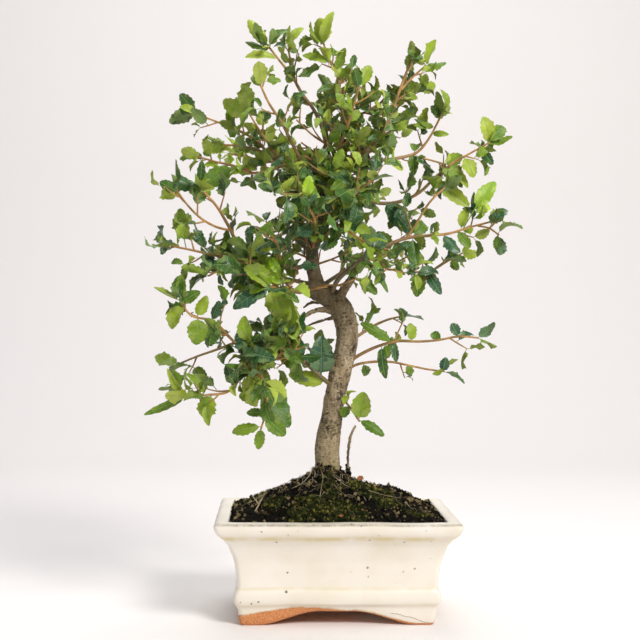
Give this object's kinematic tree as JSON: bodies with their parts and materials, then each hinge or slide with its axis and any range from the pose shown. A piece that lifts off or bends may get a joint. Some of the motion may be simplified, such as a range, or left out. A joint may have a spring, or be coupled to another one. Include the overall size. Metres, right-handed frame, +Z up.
{
  "type": "potted bonsai tree",
  "caption": "Small evergreen oak grown as a bonsai, with a bent trunk and a loose leafy crown, in a cream glazed rectangular pot on four feet.",
  "frame": {"origin": "middle of the footprint of the whole plant and pot, at the level of the pot's feet", "axes": "+Z up along the trunk, the pot's long side along X, its front towards -Y"},
  "size_m": [0.2768, 0.192, 0.4586],
  "materials": {
    "cream_glaze": "glossy",
    "plastic_mesh": "matte",
    "soil": "loose and dull",
    "bark": "rough",
    "leafy_branch": "satin"
  },
  "bodies": {
    "root": {"pot": "cream_glaze", "drain_mesh_left": "plastic_mesh", "drain_mesh_right": "plastic_mesh", "soil": "soil", "tree_trunk": "bark", "branch_right_top": "leafy_branch", "branch_right_high": "leafy_branch", "shoot_front_high": "leafy_branch", "branch_left_front": "leafy_branch", "branch_left_high": "leafy_branch", "shoot_left_long": "leafy_branch", "shoot_left_high": "leafy_branch", "branch_top_left": "leafy_branch", "branch_top": "leafy_branch", "branch_front_top": "leafy_branch", "branch_left_low": "leafy_branch", "shoot_left_rising": "leafy_branch", "branch_left_bottom": "leafy_branch", "shoot_left_round": "leafy_branch", "shoot_left_flat": "leafy_branch", "shoot_hanging": "leafy_branch", "branch_left_middle": "leafy_branch", "branch_right_long": "leafy_branch", "shoot_right_upright": "leafy_branch", "shoot_right_drooping": "leafy_branch", "branch_right_middle": "leafy_branch", "shoot_right_low": "leafy_branch", "shoot_right_second": "leafy_branch", "shoot_right_bottom": "leafy_branch", "shoot_front_middle": "leafy_branch", "shoot_front_1": "leafy_branch", "shoot_front_2": "leafy_branch", "shoot_front_3": "leafy_branch", "shoot_front_4": "leafy_branch", "shoot_front_5": "leafy_branch", "branch_back_1": "leafy_branch", "branch_back_2": "leafy_branch", "branch_back_3": "leafy_branch", "branch_back_4": "leafy_branch", "branch_back_5": "leafy_branch", "branch_back_6": "leafy_branch", "branch_back_7": "leafy_branch", "shoot_back_8": "leafy_branch", "branch_back_9": "leafy_branch", "branch_back_10": "leafy_branch", "shoot_back_11": "leafy_branch"}
  },
  "joints": []
}
